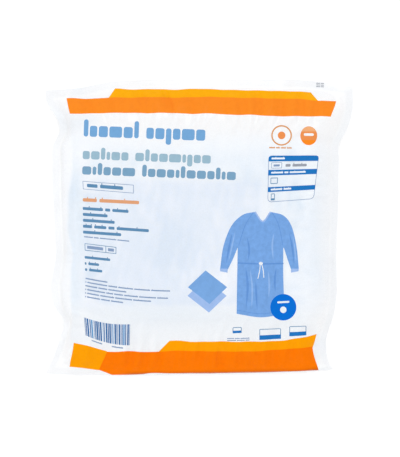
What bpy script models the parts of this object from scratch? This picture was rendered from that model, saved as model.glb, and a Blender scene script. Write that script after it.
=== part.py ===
"""Surgical gown, folded and sealed in a flat pouch of film that lies on its back.

+X points to the pouch's right and +Y to its top, as its printed front is read, and +Z points
out of that front. The origin is on the table, under the middle of the pouch. Tables are in
millimetres, and everything else is in metres.
"""

import bpy
import numpy as np

MM = 0.001

# The film. Its solid wall stands for a film of 0.08 mm.
FILM_WALL = 1.0 * MM
WELD_GAP = 0.4 * MM  # between the two webs, where they are welded
WELD_SHARE_X = 0.028  # the weld's share of the flat film's width, on either side
WELD_SHARE_Y = 0.030  # and of its length, at the top and at the bottom

# How far in from each weld the front web climbs before it lies on the gown, and how round its
# shoulder is there: 1 is a straight slope, and 2 a full round one.
FRONT_CLIMB = {"left": 17.0 * MM, "right": 24.0 * MM, "bottom": 50.0 * MM, "top": 44.0 * MM}
SHOULDER = {"left": 2.3, "right": 2.2, "bottom": 1.7, "top": 1.7}
# How far in the back web comes down to the table.
BACK_DROP = {"left": 15.0 * MM, "right": 17.0 * MM, "bottom": 26.0 * MM, "top": 30.0 * MM}
BACK_ROUND = 2.0
LOW_RISE = 0.33  # the share of its full height below which the front web's creases fade out

# The folded gown.
CENTRE_X, CENTRE_Y = -5.0 * MM, 5.0 * MM
HALF_WIDTH, HALF_LENGTH = 124.0 * MM, 92.0 * MM
CORNER_RADIUS = 15.0 * MM
GOWN_BOTTOM = FILM_WALL + 0.3 * MM
LAYERS_TOP = 24.0 * MM
CROWN = 1.8 * MM  # how much higher the middle of the stack's top is than its sides
EDGE_ROUND = 13.0 * MM  # how far in the stack's top and bottom are rounded off
LAYERS_SHOWN = 5  # folds that show as rounded edges, one on the other
LAYER_GROOVE = 1.1 * MM
RING_STEPS = 12  # points along each side of the stack, and
CORNER_STEPS = 5  # points round each of its corners
TOP_RINGS = (0.72, 0.42, 0.16)  # rings on the stack's top, as shares of its half sizes

FOLD_WALL = 1.6 * MM
FOLD_GAP = 0.3 * MM
FOLD_LEFT, FOLD_RIGHT = -116.0 * MM, 62.0 * MM
FOLD_BOTTOM, FOLD_TOP = -78.0 * MM, 47.0 * MM
FILM_TOP = LAYERS_TOP + FOLD_GAP + FOLD_WALL + 0.6 * MM  # the front web's inside over the fold
FILM_STEP = 1.2 * MM  # how much lower it lies beside the fold
STEP_SHARPNESS = 0.29 / MM  # of the slope between the two,
STEP_OFFSET = 10.0 * MM  # whose middle lies this far outside the fold

# The edges of the closed pouch, seen from above. The columns are the place along the edge, the
# edge's place across it, its height above the table, the height of the weld's inner line, and
# how far the weld reaches, seen from above. The bottom weld stands almost upright but for its
# left end.
ALONG, ACROSS, RIM, WELD, REACH = range(5)
LEFT_EDGE = (
    # y, x, rim, weld, reach
    (-146.5, -154.0, 2.0, 2.4, 8.5),
    (-140.5, -151.0, 2.2, 2.8, 8.5),
    (-127.5, -145.0, 2.8, 3.8, 8.0),
    (-107.5, -138.0, 4.0, 5.5, 7.0),
    (-97.5, -135.2, 5.0, 7.0, 6.5),
    (-89.5, -137.0, 6.0, 8.0, 7.0),
    (-84.5, -141.0, 6.5, 9.0, 8.0),
    (-22.5, -143.0, 7.5, 10.5, 8.0),
    (12.5, -145.0, 7.5, 10.5, 8.5),
    (62.5, -146.5, 7.0, 10.0, 9.0),
    (82.5, -146.0, 6.5, 9.0, 9.0),
    (89.5, -142.5, 5.5, 8.0, 8.0),
    (97.0, -139.3, 4.6, 7.0, 7.5),
    (105.5, -140.5, 4.0, 6.0, 7.5),
    (112.5, -144.0, 3.4, 5.2, 8.0),
    (119.5, -149.0, 3.0, 4.4, 8.5),
    (124.5, -152.0, 2.6, 3.8, 9.0),
    (137.5, -154.5, 2.2, 3.0, 9.0),
)
RIGHT_EDGE = (
    # y, x, rim, weld, reach
    (-142.5, 136.0, 2.0, 2.4, 8.0),
    (-134.5, 130.0, 2.4, 3.2, 7.0),
    (-127.5, 128.0, 2.8, 4.2, 7.0),
    (-117.5, 127.0, 3.4, 5.4, 7.0),
    (-108.5, 128.0, 4.2, 6.4, 7.0),
    (-90.5, 134.0, 5.8, 8.4, 8.0),
    (-80.0, 136.2, 6.6, 9.6, 8.0),
    (-22.5, 137.5, 7.5, 10.5, 8.0),
    (27.5, 139.5, 7.5, 10.5, 8.5),
    (67.5, 140.0, 7.0, 10.0, 8.5),
    (84.5, 140.5, 6.4, 9.0, 8.5),
    (90.5, 143.8, 5.6, 8.2, 8.5),
    (105.5, 151.0, 4.2, 6.2, 9.0),
    (116.5, 153.6, 3.2, 4.8, 9.0),
    (140.5, 154.2, 2.4, 3.2, 9.0),
)
BOTTOM_EDGE = (
    # x, y, rim, weld, reach
    (-154.0, -146.5, 2.0, 2.4, 8.5),
    (-128.0, -147.5, 2.0, 2.8, 8.5),
    (-104.0, -148.0, 2.0, 3.6, 7.5),
    (-85.0, -148.0, 2.0, 6.0, 3.5),
    (-49.0, -147.4, 2.0, 8.0, 1.8),
    (1.0, -146.4, 2.0, 8.8, 1.6),
    (61.0, -145.4, 2.0, 8.6, 1.6),
    (121.0, -143.2, 2.0, 6.0, 2.4),
    (136.0, -142.5, 2.0, 2.4, 5.0),
)
TOP_EDGE = (
    # x, y, rim, weld, reach
    (-154.5, 137.5, 2.2, 3.0, 9.0),
    (-119.0, 139.8, 3.4, 4.6, 9.0),
    (-94.0, 145.0, 5.0, 6.6, 9.0),
    (-60.0, 147.6, 6.0, 8.0, 9.0),
    (0.0, 148.2, 6.4, 8.6, 9.0),
    (60.0, 148.2, 6.2, 8.2, 9.0),
    (110.0, 147.0, 4.8, 6.6, 9.0),
    (154.2, 140.5, 2.4, 3.2, 9.0),
)

# Folds that cross both webs at the corners, as soft ridges from the gown out to the seals, and
# creases of the front web alone, which fade out where it is low. A row is two ends, then the
# ridge's height and width.
CORNER_FOLDS = (
    # x, y, x, y, height, width
    (-120.0, 96.0, -150.0, 124.0, 2.6, 6.0),
    (-112.0, 104.0, -132.0, 140.0, 1.8, 5.0),
    (116.0, 96.0, 150.0, 128.0, 2.4, 6.5),
    (-124.0, -88.0, -148.0, -126.0, 2.2, 6.5),
    (-104.0, -100.0, -118.0, -142.0, 1.8, 5.5),
    (112.0, -90.0, 130.0, -130.0, 2.6, 6.0),
)
FRONT_CREASES = (
    # x, y, x, y, height, width
    (-119.0, 30.0, -138.0, 84.0, 1.6, 6.0),
    (-96.0, -90.0, 44.0, -88.0, 1.2, 5.0),
    (118.0, -36.0, 126.0, -78.0, 1.6, 5.0),
    (98.0, 70.0, 134.0, 84.0, 1.4, 6.0),
    (-90.0, 86.0, 10.0, 92.0, 0.9, 8.0),
    (20.0, -96.0, 70.0, -140.0, 1.4, 8.0),
    (-60.0, 100.0, -40.0, 136.0, 1.2, 7.0),
    (40.0, 100.0, 30.0, 136.0, 1.2, 7.0),
)

# The films' grid lines, as shares of the flat film: closer where the pouch bends more.
COLUMN_STOPS = (
    # share, cells up to it
    (WELD_SHARE_X, 1),
    (0.12, 5),
    (0.88, 14),
    (1.0 - WELD_SHARE_X, 6),
    (1.0, 1),
)
ROW_STOPS = (
    # share, cells up to it
    (WELD_SHARE_Y, 1),
    (0.22, 10),
    (0.78, 10),
    (1.0 - WELD_SHARE_Y, 10),
    (1.0, 1),
)
FOLD_COLUMNS, FOLD_ROWS = 15, 11


def clear_scene():
    for thing in list(bpy.data.objects):
        bpy.data.objects.remove(thing, do_unlink=True)


def surface_material(name, colour, roughness):
    material = bpy.data.materials.new(name)
    material.use_nodes = True
    shader = material.node_tree.nodes["Principled BSDF"]
    shader.inputs["Base Color"].default_value = (*colour, 1.0)
    shader.inputs["Roughness"].default_value = roughness
    shader.inputs["Metallic"].default_value = 0.0
    return material


def along_edge(edge, share):
    """The edge's columns, in metres, at shares of the way along it, on smooth curves."""
    rows = np.array(edge) * MM
    places = rows[:, ALONG]
    along = places[0] + share * (places[-1] - places[0])
    slopes = np.gradient(rows, places, axis=0)
    first = np.clip(np.searchsorted(places, along) - 1, 0, len(places) - 2)
    step = (places[first + 1] - places[first])[..., None]
    part = (along - places[first])[..., None] / step
    rest = 1 - part
    curve = rest**2 * (1 + 2 * part) * rows[first] + part**2 * (1 + 2 * rest) * rows[first + 1]
    curve += part * rest * step * (rest * slopes[first] - part * slopes[first + 1])
    return np.moveaxis(curve, -1, 0)


def between_edges(across, up):
    """x, y, rim and weld heights inside the outline: a Coons patch on the four edges."""
    left, right = (along_edge(edge, up)[[ACROSS, ALONG, RIM, WELD]] for edge in (LEFT_EDGE, RIGHT_EDGE))
    bottom, top = (along_edge(edge, across)[:REACH] for edge in (BOTTOM_EDGE, TOP_EDGE))
    patch = (1 - across) * left + across * right + (1 - up) * bottom + up * top
    for edge, height in ((BOTTOM_EDGE, 1 - up), (TOP_EDGE, up)):
        for row, side in ((edge[0], 1 - across), (edge[-1], across)):
            patch -= side * height * np.array(row[:REACH]).reshape(4, *[1] * across.ndim) * MM
    return patch


def seen_share(share, weld, first, last):
    """Where a share of the flat film is seen in the outline, with its welds foreshortened."""
    inner = first + (1 - first - last) * (share - weld) / (1 - 2 * weld)
    near, far = first * share / weld, 1 - last * (1 - share) / weld
    return np.where(share < weld, near, np.where(share > 1 - weld, far, inner))


def ridges(table, x, y):
    """Soft ridges along line segments, fading out at both ends."""
    total = np.zeros_like(x)
    for x0, y0, x1, y1, height, width in np.array(table) * MM:
        run = np.array([x1 - x0, y1 - y0])
        length = np.hypot(*run)
        along = ((x - x0) * run[0] + (y - y0) * run[1]) / length**2
        off = ((x - x0) * run[1] - (y - y0) * run[0]) / length
        ends = np.clip(4 * along * (1 - along), 0, 1) * (along > 0) * (along < 1)
        total += height * ends * np.exp(-((off / width) ** 2))
    return total


def climb(distance, reach, roundness):
    """0 at a weld and 1 where the film has reached its full height, with a round shoulder."""
    return 1 - (1 - np.clip(distance / reach, 0, 1)) ** roundness


def crown(x, y):
    """How much the middle of the stack's top stands up above its sides."""
    across, up = (x - CENTRE_X) / HALF_WIDTH, (y - CENTRE_Y) / HALF_LENGTH
    return CROWN * np.clip(1 - across**2, 0, 1) * np.clip(1 - up**2, 0, 1)


def fold_share(x, y):
    """1 over the gown's top fold and 0 well clear of it."""
    inside = [x - FOLD_LEFT, FOLD_RIGHT - x, y - FOLD_BOTTOM, FOLD_TOP - y]
    return np.prod([1 / (1 + np.exp(-STEP_SHARPNESS * (gap + STEP_OFFSET))) for gap in inside], axis=0)


def film_points(across, up):
    """Inner points of the front and back webs at shares of the flat film, as two x, y, z arrays."""
    left, right = along_edge(LEFT_EDGE, up), along_edge(RIGHT_EDGE, up)
    bottom, top = along_edge(BOTTOM_EDGE, across), along_edge(TOP_EDGE, across)
    width, length = right[ACROSS] - left[ACROSS], top[ACROSS] - bottom[ACROSS]
    shares = {
        "left": left[REACH] / width,
        "right": right[REACH] / width,
        "bottom": bottom[REACH] / length,
        "top": top[REACH] / length,
    }
    seen_x = seen_share(across, WELD_SHARE_X, shares["left"], shares["right"])
    seen_y = seen_share(up, WELD_SHARE_Y, shares["bottom"], shares["top"])
    x, y, rim, weld = between_edges(seen_x, seen_y)

    in_x, in_y = np.minimum(across, 1 - across) / WELD_SHARE_X, np.minimum(up, 1 - up) / WELD_SHARE_Y
    middle = rim + (weld - rim) * np.clip(np.minimum(in_x, in_y), 0, 1) + ridges(CORNER_FOLDS, x, y)
    gaps = {
        "left": (seen_x - shares["left"]) * width,
        "right": (1 - seen_x - shares["right"]) * width,
        "bottom": (seen_y - shares["bottom"]) * length,
        "top": (1 - seen_y - shares["top"]) * length,
    }
    rise = np.prod([climb(gaps[side], FRONT_CLIMB[side], SHOULDER[side]) for side in gaps], axis=0)
    drop = np.prod([climb(gaps[side], BACK_DROP[side], BACK_ROUND) for side in gaps], axis=0)

    low, high = middle - WELD_GAP / 2, middle + WELD_GAP / 2
    ceiling = FILM_TOP - FILM_STEP * (1 - fold_share(x, y)) + crown(x, y)
    front = high + (ceiling - high) * rise + ridges(FRONT_CREASES, x, y) * np.clip(rise / LOW_RISE, 0, 1)
    back = low - (low - FILM_WALL) * drop
    return np.array([x, y, front]), np.array([x, y, back])


def grid_lines(stops):
    """Shares of the flat film at which its grid lines run."""
    lines = [0.0]
    for share, cells in stops:
        lines += list(np.linspace(lines[-1], share, cells + 1)[1:])
    return np.array(lines)


def grid_object(name, points, facing_up, wall, material):
    """A closed wall, from a grid of inner points thickened away from them."""
    columns, rows = points.shape[1:]
    corners = points.reshape(3, -1).T
    faces = []
    for i in range(columns - 1):
        for j in range(rows - 1):
            ring = (i * rows + j, (i + 1) * rows + j, (i + 1) * rows + j + 1, i * rows + j + 1)
            # Both ways round start at one corner, so that every cell splits along one diagonal.
            faces.append(ring if facing_up else ring[:1] + ring[:0:-1])
    mesh = bpy.data.meshes.new(name)
    mesh.from_pydata(corners.tolist(), [], faces)
    mesh.materials.append(material)
    mesh.shade_smooth()
    thing = bpy.data.objects.new(name, mesh)
    bpy.context.collection.objects.link(thing)
    solidify = thing.modifiers.new("wall", "SOLIDIFY")
    solidify.thickness = wall
    solidify.offset = 1.0
    solidify.use_even_offset = True
    return thing


def make_films():
    across, up = np.meshgrid(grid_lines(COLUMN_STOPS), grid_lines(ROW_STOPS), indexing="ij")
    front, back = film_points(across, up)
    printed = surface_material("printed_film", (0.93, 0.94, 0.96), 0.28)
    plain = surface_material("plain_film", (0.90, 0.92, 0.95), 0.30)
    grid_object("film_front", front, True, FILM_WALL, printed)
    grid_object("film_back", back, False, FILM_WALL, plain)


def rounded_rectangle(half_width, half_length, radius):
    """Points round a rectangle with round corners, anticlockwise from its right side's foot."""
    radius = min(radius, half_width, half_length)
    points = []
    for quarter in range(4):
        turn = np.array([[0, -1], [1, 0]])
        spin = np.linalg.matrix_power(turn, quarter)
        across, along = (half_width, half_length) if quarter % 2 == 0 else (half_length, half_width)
        for share in np.arange(RING_STEPS) / RING_STEPS:
            points.append(spin @ (across, (2 * share - 1) * (along - radius)))
        for share in np.arange(CORNER_STEPS) / CORNER_STEPS:
            angle = share * np.pi / 2
            corner = (across - radius + radius * np.cos(angle), along - radius + radius * np.sin(angle))
            points.append(spin @ corner)
    return np.array(points)


def stack_rings():
    """The stack of folded layers as rings of x, y, z points, from under it to the middle of its top."""
    rings = []
    for share in np.linspace(0, 1, 4 * LAYERS_SHOWN + 1):
        # An ellipse rounds the stack off, and each fold stands out between two grooves.
        bulge = np.sqrt(1 - (2 * share - 1) ** 2)
        inset = EDGE_ROUND * (1 - bulge) + LAYER_GROOVE * np.cos(np.pi * LAYERS_SHOWN * share) ** 2
        ring = rounded_rectangle(HALF_WIDTH - inset, HALF_LENGTH - inset, CORNER_RADIUS)
        level = np.full((len(ring), 1), GOWN_BOTTOM + share * (LAYERS_TOP - GOWN_BOTTOM))
        rings.append(np.hstack([ring + (CENTRE_X, CENTRE_Y), level]))
    for share in TOP_RINGS:
        ring = rounded_rectangle(HALF_WIDTH * share, HALF_LENGTH * share, CORNER_RADIUS * share)
        x, y = (ring + (CENTRE_X, CENTRE_Y)).T
        rings.append(np.array([x, y, LAYERS_TOP + crown(x, y)]).T)
    return rings


def make_gown_layers(cloth):
    rings = stack_rings()
    count, last = len(rings[0]), len(rings) - 1
    faces = [tuple(reversed(range(count))), tuple(range(last * count, (last + 1) * count))]
    for low in range(0, last * count, count):
        for i in range(count):
            j = (i + 1) % count
            faces.append((low + i, low + j, low + count + j, low + count + i))
    mesh = bpy.data.meshes.new("gown_layers")
    mesh.from_pydata(np.vstack(rings).tolist(), [], faces)
    mesh.materials.append(cloth)
    bpy.context.collection.objects.link(bpy.data.objects.new("gown_layers", mesh))


def make_gown_top_fold(cloth):
    x, y = np.meshgrid(
        np.linspace(FOLD_LEFT, FOLD_RIGHT, FOLD_COLUMNS),
        np.linspace(FOLD_BOTTOM, FOLD_TOP, FOLD_ROWS),
        indexing="ij",
    )
    z = LAYERS_TOP + FOLD_GAP + crown(x, y)
    grid_object("gown_top_fold", np.array([x, y, z]), True, FOLD_WALL, cloth)


def main():
    clear_scene()
    make_films()
    cloth = surface_material("gown_cloth", (0.30, 0.52, 0.80), 0.85)
    make_gown_layers(cloth)
    make_gown_top_fold(cloth)


main()
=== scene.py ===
"""Looks of a surgical gown that is folded and sealed in a flat pouch of printed film.

The pouch lies on its back. +X points to its right and +Y to its top, as its printed front is
read, and +Z points out of that front. Tables are in millimetres, and everything else is in
metres. The forms of the film and of the gown repeat those of the solids in the frame.
"""

import math

import bpy
import numpy as np
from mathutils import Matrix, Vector, geometry, kdtree


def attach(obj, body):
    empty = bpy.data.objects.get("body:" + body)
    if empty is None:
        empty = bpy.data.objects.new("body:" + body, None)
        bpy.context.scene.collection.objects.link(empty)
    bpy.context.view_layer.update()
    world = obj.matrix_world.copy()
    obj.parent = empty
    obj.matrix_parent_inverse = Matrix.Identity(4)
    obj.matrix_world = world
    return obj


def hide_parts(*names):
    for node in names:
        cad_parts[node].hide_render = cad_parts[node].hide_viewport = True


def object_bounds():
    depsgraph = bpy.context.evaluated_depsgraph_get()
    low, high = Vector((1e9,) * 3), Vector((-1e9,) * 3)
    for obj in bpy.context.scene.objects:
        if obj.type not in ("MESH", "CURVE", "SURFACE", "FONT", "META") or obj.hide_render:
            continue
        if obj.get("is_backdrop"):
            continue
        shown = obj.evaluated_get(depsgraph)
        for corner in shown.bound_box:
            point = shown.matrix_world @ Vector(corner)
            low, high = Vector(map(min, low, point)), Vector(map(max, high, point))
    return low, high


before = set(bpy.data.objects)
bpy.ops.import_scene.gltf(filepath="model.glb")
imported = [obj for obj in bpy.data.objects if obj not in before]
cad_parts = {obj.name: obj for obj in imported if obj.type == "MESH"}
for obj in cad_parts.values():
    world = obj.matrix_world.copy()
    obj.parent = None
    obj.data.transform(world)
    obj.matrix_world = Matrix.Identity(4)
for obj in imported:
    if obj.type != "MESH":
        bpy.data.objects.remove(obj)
CAD_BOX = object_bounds()

MM = 0.001

# ---- the pouch's form

FILM_WALL = 1 * MM  # of the solid webs, which stand for thin film
WELD_SHARE_X = 0.028  # the weld's share of the flat film's width, on either side
WELD_SHARE_Y = 0.03  # and of its length, at the top and at the bottom
FLAT_WIDTH, FLAT_LENGTH = 320 * MM, 310 * MM

# At the left, right, bottom and top: how far in from its weld the front web climbs before it lies
# on the gown, and how round its shoulder is. Then the same where the back web meets the table.
FRONT_SIDES = ((17 * MM, 2.3), (24 * MM, 2.2), (50 * MM, 1.7), (44 * MM, 1.7))
BACK_SIDES = ((15 * MM, 2.0), (17 * MM, 2.0), (26 * MM, 2.0), (30 * MM, 2.0))
LOW_RISE = 0.33  # the share of its full height below which the front web's creases fade out

# The folded gown.
CENTRE_X, CENTRE_Y = -5 * MM, 5 * MM
HALF_WIDTH, HALF_LENGTH = 124 * MM, 92 * MM
CORNER_RADIUS = 15 * MM
GOWN_BOTTOM = FILM_WALL + 0.3 * MM
LAYERS_TOP = 24 * MM
CROWN = 1.8 * MM
EDGE_ROUND = 13 * MM
FOLD_WALL, FOLD_GAP = 1.6 * MM, 0.3 * MM
FOLD_LEFT, FOLD_RIGHT = -116 * MM, 62 * MM
FOLD_BOTTOM, FOLD_TOP = -78 * MM, 47 * MM
FILM_TOP = LAYERS_TOP + FOLD_GAP + FOLD_WALL + 0.6 * MM
FILM_STEP = 1.2 * MM  # how much lower the film lies beside the top fold
STEP_SHARPNESS, STEP_OFFSET = 0.29 / MM, 10 * MM

# The edges of the closed pouch, seen from above: the place along the edge, the edge's place
# across it, its height, the height of the weld's inner line, and how far the weld reaches.
ALONG, ACROSS, RIM, WELD, REACH = range(5)
LEFT_EDGE = (
    (-146.5, -154, 2, 2.4, 8.5),
    (-140.5, -151, 2.2, 2.8, 8.5),
    (-127.5, -145, 2.8, 3.8, 8),
    (-107.5, -138, 4, 5.5, 7),
    (-97.5, -135.2, 5, 7, 6.5),
    (-89.5, -137, 6, 8, 7),
    (-84.5, -141, 6.5, 9, 8),
    (-22.5, -143, 7.5, 10.5, 8),
    (12.5, -145, 7.5, 10.5, 8.5),
    (62.5, -146.5, 7, 10, 9),
    (82.5, -146, 6.5, 9, 9),
    (89.5, -142.5, 5.5, 8, 8),
    (97, -139.3, 4.6, 7, 7.5),
    (105.5, -140.5, 4, 6, 7.5),
    (112.5, -144, 3.4, 5.2, 8),
    (119.5, -149, 3, 4.4, 8.5),
    (124.5, -152, 2.6, 3.8, 9),
    (137.5, -154.5, 2.2, 3, 9),
)
RIGHT_EDGE = (
    (-142.5, 136, 2, 2.4, 8),
    (-134.5, 130, 2.4, 3.2, 7),
    (-127.5, 128, 2.8, 4.2, 7),
    (-117.5, 127, 3.4, 5.4, 7),
    (-108.5, 128, 4.2, 6.4, 7),
    (-90.5, 134, 5.8, 8.4, 8),
    (-80, 136.2, 6.6, 9.6, 8),
    (-22.5, 137.5, 7.5, 10.5, 8),
    (27.5, 139.5, 7.5, 10.5, 8.5),
    (67.5, 140, 7, 10, 8.5),
    (84.5, 140.5, 6.4, 9, 8.5),
    (90.5, 143.8, 5.6, 8.2, 8.5),
    (105.5, 151, 4.2, 6.2, 9),
    (116.5, 153.6, 3.2, 4.8, 9),
    (140.5, 154.2, 2.4, 3.2, 9),
)
BOTTOM_EDGE = (
    (-154, -146.5, 2, 2.4, 8.5),
    (-128, -147.5, 2, 2.8, 8.5),
    (-104, -148, 2, 3.6, 7.5),
    (-85, -148, 2, 6, 3.5),
    (-49, -147.4, 2, 8, 1.8),
    (1, -146.4, 2, 8.8, 1.6),
    (61, -145.4, 2, 8.6, 1.6),
    (121, -143.2, 2, 6, 2.4),
    (136, -142.5, 2, 2.4, 5),
)
TOP_EDGE = (
    (-154.5, 137.5, 2.2, 3, 9),
    (-119, 139.8, 3.4, 4.6, 9),
    (-94, 145, 5, 6.6, 9),
    (-60, 147.6, 6, 8, 9),
    (0, 148.2, 6.4, 8.6, 9),
    (60, 148.2, 6.2, 8.2, 9),
    (110, 147, 4.8, 6.6, 9),
    (154.2, 140.5, 2.4, 3.2, 9),
)

# Folds that cross both webs at the corners, and creases of the front web alone.
CORNER_FOLDS = (
    # x, y, x, y, height, width
    (-120, 96, -150, 124, 2.6, 6),
    (-112, 104, -132, 140, 1.8, 5),
    (116, 96, 150, 128, 2.4, 6.5),
    (-124, -88, -148, -126, 2.2, 6.5),
    (-104, -100, -118, -142, 1.8, 5.5),
    (112, -90, 130, -130, 2.6, 6),
)
FRONT_CREASES = (
    (-119, 30, -138, 84, 1.6, 6),
    (-96, -90, 44, -88, 1.2, 5),
    (118, -36, 126, -78, 1.6, 5),
    (98, 70, 134, 84, 1.4, 6),
    (-90, 86, 10, 92, 0.9, 8),
    (20, -96, 70, -140, 1.4, 8),
    (-60, 100, -40, 136, 1.2, 7),
    (40, 100, 30, 136, 1.2, 7),
)


def along_edge(edge, share):
    """The edge's columns, in metres, at shares of the way along it, on smooth curves."""
    rows = np.array(edge) * MM
    places = rows[:, ALONG]
    along = places[0] + share * (places[-1] - places[0])
    slopes = np.gradient(rows, places, axis=0)
    first = np.clip(np.searchsorted(places, along) - 1, 0, len(places) - 2)
    step = (places[first + 1] - places[first])[..., None]
    part = (along - places[first])[..., None] / step
    rest = 1 - part
    curve = rest**2 * (1 + 2 * part) * rows[first] + part**2 * (1 + 2 * rest) * rows[first + 1]
    curve += part * rest * step * (rest * slopes[first] - part * slopes[first + 1])
    return np.moveaxis(curve, -1, 0)


def between_edges(across, up):
    """x, y, rim and weld heights inside the outline: a Coons patch on the four edges."""
    columns = [ACROSS, ALONG, RIM, WELD]
    left, right = (along_edge(edge, up)[columns] for edge in (LEFT_EDGE, RIGHT_EDGE))
    bottom, top = (along_edge(edge, across)[:REACH] for edge in (BOTTOM_EDGE, TOP_EDGE))
    patch = (1 - across) * left + across * right + (1 - up) * bottom + up * top
    for edge, height in ((BOTTOM_EDGE, 1 - up), (TOP_EDGE, up)):
        for row, side in ((edge[0], 1 - across), (edge[-1], across)):
            patch -= side * height * np.array(row[:REACH]).reshape(4, *[1] * across.ndim) * MM
    return patch


def bell(value):
    return np.exp(-(value**2))


def ridges(table, x, y):
    """Soft ridges along line segments, fading out at both ends."""
    total = np.zeros_like(x)
    for x0, y0, x1, y1, height, width in np.array(table) * MM:
        run = np.array([x1 - x0, y1 - y0])
        length = np.hypot(*run)
        along = ((x - x0) * run[0] + (y - y0) * run[1]) / length**2
        off = ((x - x0) * run[1] - (y - y0) * run[0]) / length
        ends = np.clip(4 * along * (1 - along), 0, 1) * (along > 0) * (along < 1)
        total += height * ends * bell(off / width)
    return total


def climb(distance, reach, roundness):
    """0 at a weld and 1 where the film has reached its full height, with a round shoulder."""
    return 1 - (1 - np.clip(distance / reach, 0, 1)) ** roundness


def crown(x, y):
    """How much the middle of the stack's top stands up above its sides."""
    across, up = (x - CENTRE_X) / HALF_WIDTH, (y - CENTRE_Y) / HALF_LENGTH
    return CROWN * np.clip(1 - across**2, 0, 1) * np.clip(1 - up**2, 0, 1)


def inside_fold(x, y):
    """How far inside each edge of the gown's top fold a place lies."""
    return [x - FOLD_LEFT, FOLD_RIGHT - x, y - FOLD_BOTTOM, FOLD_TOP - y]


def fold_share(x, y):
    """1 over the gown's top fold and 0 well clear of it."""
    steps = [1 / (1 + np.exp(-STEP_SHARPNESS * (gap + STEP_OFFSET))) for gap in inside_fold(x, y)]
    return np.prod(steps, axis=0)


def seen_between(share, weld, first, last):
    """Where a share of the flat film is seen between two edges, whose welds are foreshortened,
    and how far inside each of the two welds it lies."""
    span = last[ACROSS] - first[ACROSS]
    first_weld, last_weld = first[REACH] / span, last[REACH] / span
    inner = first_weld + (1 - first_weld - last_weld) * (share - weld) / (1 - 2 * weld)
    near, far = first_weld * share / weld, 1 - last_weld * (1 - share) / weld
    seen = np.where(share < weld, near, np.where(share > 1 - weld, far, inner))
    return seen, (seen - first_weld) * span, (1 - seen - last_weld) * span


def seen_place(across, up):
    """Where a place on the flat film is seen from above, and how far inside each weld it lies."""
    left, right = along_edge(LEFT_EDGE, up), along_edge(RIGHT_EDGE, up)
    bottom, top = along_edge(BOTTOM_EDGE, across), along_edge(TOP_EDGE, across)
    seen_x, *gaps_x = seen_between(across, WELD_SHARE_X, left, right)
    seen_y, *gaps_y = seen_between(up, WELD_SHARE_Y, bottom, top)
    return between_edges(seen_x, seen_y), (*gaps_x, *gaps_y)


UNFOLD_STEPS = 60


def unfold(points, shift):
    """The flat film's shares, across and up, of places in metres that are seen from above."""
    places = np.array(points, dtype=float).T
    low, high = (np.array(corner[:2])[:, None] for corner in CAD_BOX)
    span = high - low
    shares = (places - low) / span
    for _ in range(UNFOLD_STEPS):
        seen, move = seen_place(*shares)[0][:2], moved(shift, *shares)[:2]
        shares = np.clip(shares + (places - seen - move) / span, 0, 1)
    return shares.T


# ---- creases and crumples

WEB_GAP = 0.1 * MM  # between the two webs in their weld
WEB_BLEND = 10 * MM  # inside the weld over which the webs part to their full distance
FRONT_LIFT = -0.2 * MM  # of the film above the inside of the solid web that it replaces
BACK_LIFT = 0.1 * MM  # of the film above the table
FILM_CLEAR = 0.3 * MM  # least distance of the film above the gown
CREASE_SEED = 41
SHARP_EDGE = 0.35  # of a crease's width over which its crest is rounded
CREASE_TURN = 0.35  # how far creases turn from straight outward, in radians
CREASE_BEND = 0.12
CREASE_SIDES = (1.0, 1.0, -0.6)  # two of three stand up, and the third is a shallower groove
MARGIN_SPAN = 0.98  # the share of a side along which the margin's creases lie
MIDDLE_X, MIDDLE_Y = 0.4, 0.38  # how far from the middle the others lie, as shares of the film
CORNER_POWER = 5  # how small the corners are in which outward is slanted


def smooth_step(value):
    value = np.clip(value, 0, 1)
    return value * value * (3 - 2 * value)


def waves(x, y, count, longest, shortest, seed):
    """Smooth irregular waves about 0, of height about 1, from plane waves in all directions."""
    rng = np.random.default_rng(seed)
    total = np.zeros_like(x)
    for _ in range(count):
        length = math.exp(rng.uniform(math.log(shortest), math.log(longest)))
        angle, phase = rng.uniform(0, 2 * np.pi, 2)
        total += np.sin(2 * np.pi * (x * math.cos(angle) + y * math.sin(angle)) / length + phase)
    return total / math.sqrt(count)


def outward(x, y):
    """The direction from the pack's middle towards its nearest side, or its nearest corner."""
    across, up = x / (0.5 * FLAT_WIDTH), y / (0.5 * FLAT_LENGTH)
    power = CORNER_POWER - 1
    return math.atan2(up * abs(up) ** power, across * abs(across) ** power)


def crumples(x, y, count, heights, widths, lengths, margin, seed):
    """Straight creases with sharp crests. Those in the margin run out from the middle, and the
    others run anywhere."""
    rng = np.random.default_rng(seed)
    total = np.zeros_like(x)
    for _ in range(count):
        if margin:
            side, place = rng.integers(4), rng.uniform(-MARGIN_SPAN, MARGIN_SPAN)
            depth = 1 - rng.uniform(*margin)
            x0, y0 = ((place, depth), (place, -depth), (depth, place), (-depth, place))[side]
            x0, y0 = 0.5 * FLAT_WIDTH * x0, 0.5 * FLAT_LENGTH * y0
            angle = outward(x0, y0) + rng.normal(0, CREASE_TURN)
        else:
            x0 = rng.uniform(-MIDDLE_X, MIDDLE_X) * FLAT_WIDTH
            y0 = rng.uniform(-MIDDLE_Y, MIDDLE_Y) * FLAT_LENGTH
            angle = rng.uniform(0, np.pi)
        height, width, length = (rng.uniform(*span) for span in (heights, widths, lengths))
        height *= rng.choice(CREASE_SIDES)
        cos, sin = math.cos(angle), math.sin(angle)
        near = np.abs(x - x0) + np.abs(y - y0) < length + 4 * width
        dx, dy = x[near] - x0, y[near] - y0
        along, off = (dx * cos + dy * sin) / length, dy * cos - dx * sin
        # The crease bends a little, and widens towards one end.
        off = off + rng.normal(0, CREASE_BEND) * length * along**2
        spread = width * (1 + 0.5 * along)
        crest = np.exp(-(np.hypot(off / spread, SHARP_EDGE) - SHARP_EDGE))
        total[near] += height * crest * np.clip(1 - along**2, 0, 1) ** 2
    return total


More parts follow.
